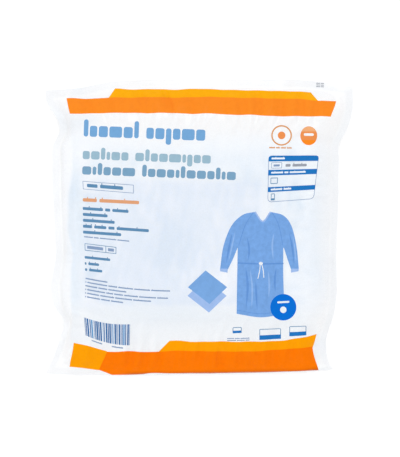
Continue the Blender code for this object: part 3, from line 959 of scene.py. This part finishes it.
def print_pictures():
    for x, y, ink in ((8, -68, "cloth_pale"), (8.5, -59.5, "cloth_blue")):
        on_film(ink, [(x + across, y + up) for across, up in CLOTH])
    # A gown laid out with its sleeves spread, from its left sleeve round to its left side.
    outline = [
        *curve([(38.5, -20), (34, -31), (28.5, -42.5)]),
        *curve([(21, -41), (24.5, -18), (32.5, 2), (43.5, 12.5), (55, 15.5)]),
        *curve([(56.5, 15.3), (63.5, 6.5), (70.5, 15.3)])[1:-1],
        *curve([(72, 15.5), (84, 12), (92, 2), (97, -18), (99.5, -41)]),
        *curve([(92, -42.5), (88, -31), (84.5, -20)]),
        *curve([(84, -21), (84, -50), (85.5, -86)]),
        *curve([(85.5, -86), (62, -89.5), (37.5, -86)])[1:],
        *curve([(37.5, -85.5), (38, -50), (38.5, -22)])[1:-1],
    ]
    on_film("gown_blue", outline)
    for x, low_left, low_right in ((21, -43.6, -45), (91.8, -45, -43.6)):
        cuff = [(x, low_left), (x + 7.4, low_right), (x + 7.6, -41), (x - 0.2, -41)]
        on_film("cloth_pale", cuff)
    for line in SLEEVE_SEAMS:
        stroke(*line)
    for line in SOFT_FOLDS:
        stroke(*line, tapers=True)
    for line in EDGINGS:
        stroke(*line)
    disc("white", 61.6, -35.8, 2, 1.5, 16)
    disc("disc_blue", 84, -79.5, 13, 13.2, 44)
    disc("white", 84, -82, 3.2, 3.2, 24)
    bar = Panel(12, 2.2, (78, -75.6), (90, -75), (78, -73.4), (90, -72.8))
    bar.box("white", 0, 0, 12, 1.9, 0.8)


# ---- materials


def srgb(*colour):
    """Linear colour from 0 to 255 values."""
    shares = [c / 255 for c in colour]
    return tuple(c / 12.92 if c <= 0.04 else ((c + 0.055) / 1.055) ** 2.4 for c in shares)


FILM_WHITE = (0.985, 0.988, 0.988)
FILM_THROUGH = 0.21
BACK_THROUGH = 0.06  # the back web is backed by the table
PLAIN_MOTTLE = 0.015
INKS = {
    # name: colour, the share of light that goes through, and how mottled it is
    "white": (FILM_WHITE, FILM_THROUGH, 0.008),
    "orange": (srgb(241, 134, 34), 0.06, 0.03),
    "amber": (srgb(241, 166, 14), 0.06, 0.03),
    # the bottom band's two inks: darker copies of the orange and amber above, as painted shade for the
    # less light that band gets
    "shaded_orange": (srgb(241, 115, 0), 0.03, 0.03),
    "shaded_amber": (srgb(242, 152, 0), 0.03, 0.03),
    "orange_line": (srgb(228, 140, 78), 0.06, 0.03),
    "warm_text": (srgb(216, 155, 115), 0.06, 0.03),
    "warm_pale": (srgb(232, 168, 118), 0.06, 0.03),
    "ring_orange": (srgb(208, 144, 86), 0.06, 0.03),
    "bright_blue": (srgb(112, 160, 204), 0.05, 0.04),
    "title_pale": (srgb(148, 178, 194), 0.05, 0.04),
    "title_blue": (srgb(118, 156, 184), 0.05, 0.04),
    "slate_blue": (srgb(90, 134, 170), 0.05, 0.04),
    "grey_blue": (srgb(132, 154, 186), 0.08, 0.04),
    "grey_line": (srgb(150, 155, 165), 0.08, 0.04),
    "code_blue": (srgb(24, 96, 156), 0.05, 0.04),
    "code_pale": (srgb(92, 146, 194), 0.05, 0.04),
    "bar_blue": (srgb(32, 112, 182), 0.05, 0.04),
    "gown_blue": (srgb(114, 158, 214), 0.05, 0.10),
    "gown_dark": (srgb(97, 142, 203), 0.05, 0.06),
    "gown_light": (srgb(140, 176, 224), 0.05, 0.06),
    "cloth_blue": (srgb(116, 160, 212), 0.05, 0.06),
    "cloth_pale": (srgb(152, 180, 224), 0.05, 0.05),
    "disc_blue": (srgb(6, 104, 200), 0.03, 0.03),
}
TINTS = {
    # ink: attribute: what it multiplies the ink's colour by, where it is 1
    "white": {
        GOWN_LIGHT_AND_SHADE: (0.80, 0.87, 0.935),  # the gown's blue, painted in as light that comes through the film, with patches of painted shade
        # greyer in the welds, and painted shade on the ears beside them
        WELD_GREY_AND_SHADE: (0.937, 0.945, 0.956),
    },
    "shaded_orange": {LOWER_EDGE_SHADE: (0.6, 0.56, 0.85)},  # painted shade along the lower edge, where the film turns under
}
FILM_ROUGHNESS = 0.27
FILM_GLOSS, INK_GLOSS, CLOTH_GLOSS = 0.4, 0.03, 0.25
CLOTH_OUTSIDE = (0.10, 0.36, 0.86)
CLOTH_INSIDE = (0.46, 0.68, 0.93)  # the paler side of the cloth, which the stack shows


class Nodes:
    """A material's node tree, with short ways to add nodes and join them."""

    def __init__(self, name):
        self.material = bpy.data.materials.new(name)
        self.material.use_nodes = True
        self.tree = self.material.node_tree
        self.tree.nodes.clear()
        self.place = self.add("ShaderNodeTexCoord").outputs["Object"]

    def add(self, kind, inputs=None, **settings):
        node = self.tree.nodes.new(kind)
        for name, value in settings.items():
            setattr(node, name, value)
        for name, value in (inputs or {}).items():
            socket = node.inputs[name]
            if isinstance(value, bpy.types.NodeSocket):
                self.tree.links.new(value, socket)
            else:
                socket.default_value = value
        return node

    def noise(self, scale, detail, kind="FBM", **inputs):
        values = {"Vector": self.place, "Scale": scale, "Detail": detail, **inputs}
        return self.add("ShaderNodeTexNoise", values, noise_type=kind).outputs["Fac"]

    def ramp(self, value, start=0.0, end=1.0, low=0.3, high=0.7):
        """From start to end as the value goes from low to high, which suit a noise."""
        values = {"Value": value, "From Min": low, "From Max": high, "To Min": start, "To Max": end}
        return self.add("ShaderNodeMapRange", values).outputs["Result"]

    def mix(self, share, first, second, blend="MIX"):
        values = {"Factor": share, "A": first, "B": second}
        node = self.add("ShaderNodeMix", values, data_type="RGBA", blend_type=blend)
        return node.outputs["Result"]

    def shade(self, colour, value, dark, bright):
        """The colour, darker and brighter as the value goes from 0 to 1."""
        darker = (*[c * dark for c in colour], 1.0)
        brighter = (*[min(c * bright, 1.0) for c in colour], 1.0)
        return self.mix(value, darker, brighter)

    def math(self, operation, first, second):
        return self.add("ShaderNodeMath", {0: first, 1: second}, operation=operation).outputs[0]

    def bump(self, parts, distance, strength):
        """The normal of a relief, from two values with their shares of its height."""
        height = self.math("ADD", *[self.math("MULTIPLY", *part) for part in parts])
        values = {"Height": height, "Distance": distance, "Strength": strength}
        return self.add("ShaderNodeBump", values).outputs["Normal"]

    def shader(self, colour, roughness, gloss, **inputs):
        values = {"Base Color": colour, "Roughness": roughness, "Specular IOR Level": gloss, **inputs}
        return self.add("ShaderNodeBsdfPrincipled", values).outputs[0]

    def surface(self, shader):
        self.add("ShaderNodeOutputMaterial", {"Surface": shader})
        return self.material


def film_material(name, colour, through, mottle, gloss, tints):
    """Thin film with fine crinkles, part of whose light goes through."""
    nodes = Nodes(name)
    blotch = nodes.ramp(nodes.noise(240, 5, Roughness=0.65))
    shade = nodes.shade(colour, blotch, 1 - mottle, 1 + mottle)
    for attribute, factors in tints.items():
        share = nodes.add("ShaderNodeAttribute", attribute_name=attribute).outputs["Fac"]
        shade = nodes.mix(share, shade, (*factors, 1.0), "MULTIPLY")
    crinkle = nodes.noise(95, 2.5, "RIDGED_MULTIFRACTAL", Roughness=0.6)
    normal = nodes.bump(((crinkle, 0.7), (nodes.noise(320, 3), 0.12)), 0.25 * MM, 0.55)
    rough = nodes.ramp(nodes.noise(900, 2), FILM_ROUGHNESS - 0.05, FILM_ROUGHNESS + 0.07)
    front = nodes.shader(shade, rough, gloss, Normal=normal)
    back = nodes.add("ShaderNodeBsdfTranslucent", {"Color": shade, "Normal": normal}).outputs[0]
    return nodes.surface(nodes.add("ShaderNodeMixShader", {0: through, 1: front, 2: back}).outputs[0])


def cloth_material(name, colour):
    """Point-bonded nonwoven cloth: matt, with rows of small pressed dots among loose fibres."""
    nodes = Nodes(name)
    spacing = {"Vector": nodes.place, "Scale": 650, "Randomness": 0.12}
    dots = nodes.add("ShaderNodeTexVoronoi", spacing).outputs["Distance"]
    fibres = nodes.noise(1400, 4, Distortion=1.5)
    shade = nodes.shade(colour, nodes.ramp(nodes.noise(60, 4)), 0.94, 1.05)
    pressed = nodes.ramp(dots, low=0.1, high=0.4)
    normal = nodes.bump(((pressed, 0.7), (fibres, 0.3)), 0.15 * MM, 0.7)
    rough = nodes.ramp(fibres, 0.8, 0.95)
    sheen = {"Normal": normal, "Sheen Weight": 0.15}
    return nodes.surface(nodes.shader(shade, rough, CLOTH_GLOSS, **sheen))


# ---- meshes


def add_object(name, data):
    thing = bpy.data.objects.new(name, data)
    bpy.context.collection.objects.link(thing)
    return thing


def add_mesh(name, points, faces, materials, slots=()):
    mesh = bpy.data.meshes.new(name)
    mesh.from_pydata(np.asarray(points).tolist(), [], faces)
    for material in materials:
        mesh.materials.append(material)
    if slots:
        mesh.polygons.foreach_set("material_index", slots)
    mesh.shade_smooth()
    mesh.update()
    return add_object(name, mesh)


GRID_STEP = 1.5  # between the front web's points, in millimetres
EDGE_CLEAR = 0.5  # least distance of those points from a printed edge
SAME_POINT = 1e-4  # distance below which two points are one


def lattice():
    """Points of the flat film in rows of equal triangles, in millimetres."""
    width, length = FLAT_WIDTH / MM, FLAT_LENGTH / MM
    columns, rows = round(width / GRID_STEP), round(length / (GRID_STEP * math.sqrt(0.75)))
    points = []
    for row in range(rows + 1):
        y = length * row / rows
        odd = row % 2 and 0 < row < rows
        steps = (np.arange(columns) + 0.5) / columns if odd else np.arange(columns + 1) / columns
        points += [(width * share, y) for share in steps]
        if odd:
            points += [(0.0, y), (width, y)]
    return np.array(points)


def flat_print(shift):
    """The outlines of the print on the flat film, anticlockwise, in millimetres."""
    scale = np.array([FLAT_WIDTH, FLAT_LENGTH]) / MM
    flat = unfold(np.vstack([points for _, points in PRINT]) * MM, shift) * scale
    begin = 0
    for _, points in PRINT:
        outline = flat[begin : begin + len(points)]
        begin += len(points)
        x, y = outline.T
        anticlockwise = np.sum(x * np.roll(y, -1) - y * np.roll(x, -1)) > 0
        yield outline if anticlockwise else outline[::-1]


def printed_web(materials):
    """The front web, with the edges of its print cut into its mesh."""
    shift = settle(True)
    outlines = list(flat_print(shift))
    edges = np.vstack(outlines)
    tree = kdtree.KDTree(len(edges))
    for i, (x, y) in enumerate(edges):
        tree.insert((x, y, 0), i)
    tree.balance()
    width, length = FLAT_WIDTH / MM, FLAT_LENGTH / MM
    points = []
    for x, y in lattice():
        if x in (0, width) or y in (0, length) or tree.find((x, y, 0))[2] > EDGE_CLEAR:
            points.append(Vector((x, y)))
    loops = []
    for outline in outlines:
        loops.append(list(range(len(points), len(points) + len(outline))))
        points += [Vector(p) for p in outline]
    # The triangulation fills each outline on its left, and says which ones a face lies in.
    made = geometry.delaunay_2d_cdt(points, [], loops, 0, SAME_POINT, True)
    corners, faces, origins = made[0], made[2], made[5]
    names = list(INKS)
    slots = [names.index(PRINT[max(origin)][0]) if origin else 0 for origin in origins]
    across, up = np.array([tuple(c) for c in corners]).T / [[width], [length]]
    points = web_points(across, up, shift, True)
    web = add_mesh("front_web", points.T, faces, materials, slots)
    shades = {
        GOWN_LIGHT_AND_SHADE: painted_gown_light(points),
        WELD_GREY_AND_SHADE: weld_grey_and_shading(points, across, up),
        LOWER_EDGE_SHADE: lower_edge_shading(points, up),
    }
    for name, values in shades.items():
        web.data.attributes.new(name, "FLOAT", "POINT").data.foreach_set("value", values)
    return web


def grid_faces(numbers):
    """The faces of a grid whose points have these numbers. They face down where its first index
    runs to +X and its second to +Y."""
    corners = (numbers[:-1, :-1], numbers[:-1, 1:], numbers[1:, 1:], numbers[1:, :-1])
    return np.stack(corners, axis=-1).reshape(-1, 4)


BACK_COLUMNS, BACK_ROWS = 150, 146


def plain_web(material):
    across, up = share_grid(BACK_COLUMNS, BACK_ROWS)
    points = web_points(across.ravel(), up.ravel(), settle(False), False).T
    faces = grid_faces(np.arange(len(points)).reshape(BACK_COLUMNS, BACK_ROWS))
    return add_mesh("back_web", points, faces.tolist(), [material])


LAYER_COUNT, RINGS_A_LAYER, RING_POINTS = 13, 6, 260
STACK_SEED = 7
LAYER_SHIFT = 2.2  # by how many millimetres at most a layer's edge lies further in than the stack's
LAYER_UNEVEN, LAYER_WAVES = 0.7 * MM, (10, 120 * MM, 25 * MM)
LAYER_FOLD, FOLD_POWER = 1.4 * MM, 0.7  # how far each layer's edge rounds off, and how evenly
TILT, TILT_WAVES, TILT_SEED = 0.25 * MM, (8, 160 * MM, 50 * MM), 3
TOP_SHARES = (0.94, 0.04, 34)  # of the first and the last ring on the top, and how many
TOP_RISE = 0.12  # the share of the way in over which the top rises to its crown
SOFT_HEIGHT = 0.12 * MM
TOP_WAVES, TOP_SEED = (20, 60 * MM, 14 * MM), STACK_SEED + 50
TOP_CLEAR = 0.15 * MM


def rounded_outline(count):
    """Points spaced evenly round the stack's outline, and the directions out of it there."""
    radius = CORNER_RADIUS
    straight = [2 * (HALF_LENGTH - radius), 2 * (HALF_WIDTH - radius)] * 2
    arc = 0.5 * np.pi * radius
    total = sum(straight) + 4 * arc
    points, normals = [], []
    for distance in np.arange(count) * total / count:
        turn = 0
        while distance >= straight[turn] + arc:
            distance -= straight[turn] + arc
            turn += 1
        halves = (HALF_WIDTH, HALF_LENGTH)
        half_out, half_along = halves if turn % 2 == 0 else halves[::-1]
        if distance < straight[turn]:
            local, angle = (half_out, distance - (half_along - radius)), 0.0
        else:
            angle = (distance - straight[turn]) / radius
            off = (radius * math.cos(angle), radius * math.sin(angle))
            local = (half_out - radius + off[0], half_along - radius + off[1])
        normal = (math.cos(angle), math.sin(angle))
        for _ in range(turn):
            local, normal = (-local[1], local[0]), (-normal[1], normal[0])
        points.append(local)
        normals.append(normal)
    return np.array(points), np.array(normals)


def folded_gown(cloth):
    """The stack of folded layers, each with its own rounded, uneven edge."""
    outline, normals = rounded_outline(RING_POINTS)
    x, y = outline.T
    middle = np.array([CENTRE_X, CENTRE_Y])
    shifts = np.random.default_rng(STACK_SEED).uniform(0, LAYER_SHIFT, LAYER_COUNT) * MM
    tilt = TILT * waves(x, y, *TILT_WAVES, TILT_SEED)
    rings = []
    for layer in range(LAYER_COUNT):
        uneven = LAYER_UNEVEN * waves(x, y, *LAYER_WAVES, STACK_SEED + layer)
        for step in range(RINGS_A_LAYER):
            share = (layer + (step + 0.5) / RINGS_A_LAYER) / LAYER_COUNT
            bulge = math.sqrt(max(0.0, 1 - (2 * share - 1) ** 2))
            fold = math.sin(math.pi * (step + 0.5) / RINGS_A_LAYER) ** FOLD_POWER
            inset = EDGE_ROUND * (1 - bulge) + shifts[layer] + LAYER_FOLD * (1 - fold) + uneven
            ring = outline - normals * np.clip(inset, 0, None)[:, None]
            level = GOWN_BOTTOM + share * (LAYERS_TOP - GOWN_BOTTOM) + tilt
            rings.append(np.column_stack([ring + middle, np.clip(level, GOWN_BOTTOM, None)]))
    last = rings[-1][:, :2]
    for share in np.linspace(*TOP_SHARES):
        flat = middle + (last - middle) * share
        rise = crown(*flat.T) * smooth_step((1 - share) / TOP_RISE)
        soft = SOFT_HEIGHT * waves(*flat.T, *TOP_WAVES, TOP_SEED)
        rings.append(np.column_stack([flat, LAYERS_TOP + rise + soft - TOP_CLEAR]))
    points = np.vstack(rings)
    numbers = np.arange(len(points)).reshape(-1, RING_POINTS)
    sides = grid_faces(np.column_stack([numbers, numbers[:, 0]])).tolist()
    faces = [numbers[0, ::-1].tolist(), *sides, numbers[-1].tolist()]
    return add_mesh("folded_gown", points, faces, [cloth])


FOLD_COLUMNS, FOLD_ROWS = 120, 86
FOLD_ROUND = 1.6 * MM
FOLD_WAVES, FOLD_SEED = (20, 50 * MM, 12 * MM), STACK_SEED + 60


def gown_fold(cloth):
    """The last fold of the gown's body, as a thin slab with round edges on the other layers."""
    across = np.linspace(FOLD_LEFT, FOLD_RIGHT, FOLD_COLUMNS)
    along = np.linspace(FOLD_BOTTOM, FOLD_TOP, FOLD_ROWS)
    x, y = np.meshgrid(across, along, indexing="ij")
    inside = np.clip(np.minimum.reduce(inside_fold(x, y)) / FOLD_ROUND, 0, 1)
    roundness = np.sqrt(1 - (1 - inside) ** 2)
    soft = SOFT_HEIGHT * waves(x, y, *FOLD_WAVES, FOLD_SEED) * roundness
    middle = LAYERS_TOP + FOLD_GAP + crown(x, y) + 0.5 * FOLD_WALL
    top = middle + 0.5 * FOLD_WALL * roundness + soft
    bottom = middle - 0.5 * FOLD_WALL * roundness
    points = np.moveaxis(np.array([[x, y, top], [x, y, bottom]]), 1, -1).reshape(-1, 3)
    under = x.size
    numbers = np.arange(under).reshape(x.shape)
    tops = grid_faces(numbers)[:, [0, 3, 2, 1]]
    faces = np.stack([tops, under + tops[:, ::-1]], axis=1).reshape(-1, 4)
    rim = np.concatenate([numbers[:, 0], numbers[-1, 1:], numbers[-2::-1, -1], numbers[0, -2:0:-1]])
    after = np.roll(rim, -1)
    sides = np.column_stack([under + rim, under + after, after, rim])
    return add_mesh("gown_fold", points, [*faces.tolist(), *sides.tolist()], [cloth])


# ---- stage

CAMERA_DISTANCE = 5.0
FRAME_HEIGHT = 457 * MM  # what the picture's long side spans, at a millimetre a pixel
SENSOR = 36.0
CAMERA_X, CAMERA_Y, SUBJECT_HEIGHT = 1 * MM, -1 * MM, 8 * MM
FLOOR_HALF = 6.0
FLOOR_GLOW = 0.12


def make_camera():
    data = bpy.data.cameras.new("camera")
    data.sensor_width = SENSOR
    data.lens = SENSOR * (CAMERA_DISTANCE - SUBJECT_HEIGHT) / FRAME_HEIGHT
    data.clip_end = 50.0
    camera = add_object("camera", data)
    camera.location = (CAMERA_X, CAMERA_Y, CAMERA_DISTANCE)
    bpy.context.scene.camera = camera


def make_floor():
    points = [(x * FLOOR_HALF, y * FLOOR_HALF, 0) for x, y in ((-1, -1), (1, -1), (1, 1), (-1, 1))]
    nodes = Nodes("floor")
    colour = nodes.shade((0.97, 0.97, 0.97), nodes.noise(40, 2), 0.995, 1.005)
    glow = {"Emission Color": (1, 1, 1, 1), "Emission Strength": FLOOR_GLOW}
    material = nodes.surface(nodes.shader(colour, 0.9, 0.0, **glow))
    add_mesh("floor", points, [(0, 1, 2, 3)], [material])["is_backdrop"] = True


LIGHTS = (
    # name, place, size, power, colour
    ("key", (0.5, 1.5, 1.9), 0.7, 9.0, (1.0, 1.0, 1.0)),
    ("fill", (-1.5, -0.3, 1.4), 1.0, 4.0, (1.0, 1.0, 1.0)),
    ("low", (0.2, -1.8, 1.2), 1.2, 2.6, (0.94, 0.97, 1.0)),
)
WORLD_COLOUR, WORLD_STRENGTH = (0.985, 0.988, 1.0, 1.0), 1.0


def make_lights():
    for name, place, size, power, colour in LIGHTS:
        data = bpy.data.lights.new(name, "AREA")
        data.shape = "DISK"
        data.size = size
        data.energy = power
        data.color = colour
        light = add_object(name, data)
        light.location = place
        light.rotation_euler = Vector(place).to_track_quat("Z", "Y").to_euler()
    world = bpy.data.worlds.new("world")
    world.use_nodes = True
    background = world.node_tree.nodes["Background"]
    background.inputs["Color"].default_value = WORLD_COLOUR
    background.inputs["Strength"].default_value = WORLD_STRENGTH
    bpy.context.scene.world = world
    settings = bpy.context.scene.view_settings
    settings.view_transform = "Standard"
    settings.exposure = 0.0


# ---- the scene


def main():
    print_bands()
    print_titles()
    print_text()
    print_bars()
    print_badges()
    print_table()
    print_marks()
    print_pictures()

    inks = []
    for name, ink in INKS.items():
        gloss = FILM_GLOSS if name == "white" else INK_GLOSS
        inks.append(film_material(f"film_{name}", *ink, gloss, TINTS.get(name, {})))
    plain = film_material("film_plain", FILM_WHITE, BACK_THROUGH, PLAIN_MOTTLE, FILM_GLOSS, {})

    front = printed_web(inks)
    back = plain_web(plain)
    stack = folded_gown(cloth_material("cloth_inside", CLOTH_INSIDE))
    fold = gown_fold(cloth_material("cloth_outside", CLOTH_OUTSIDE))

    for piece, node, slot in (
        (front, "film_front", "printed_film"),
        (back, "film_back", "plain_film"),
        (stack, "gown_layers", "gown_cloth"),
        (fold, "gown_top_fold", "gown_cloth"),
    ):
        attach(piece, "root")
        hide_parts(node)

    make_floor()
    make_camera()
    make_lights()


main()
sizes = {"cad": CAD_BOX, "visual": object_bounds()}
{name: [[float(c) for c in corner] for corner in box] for name, box in sizes.items()}
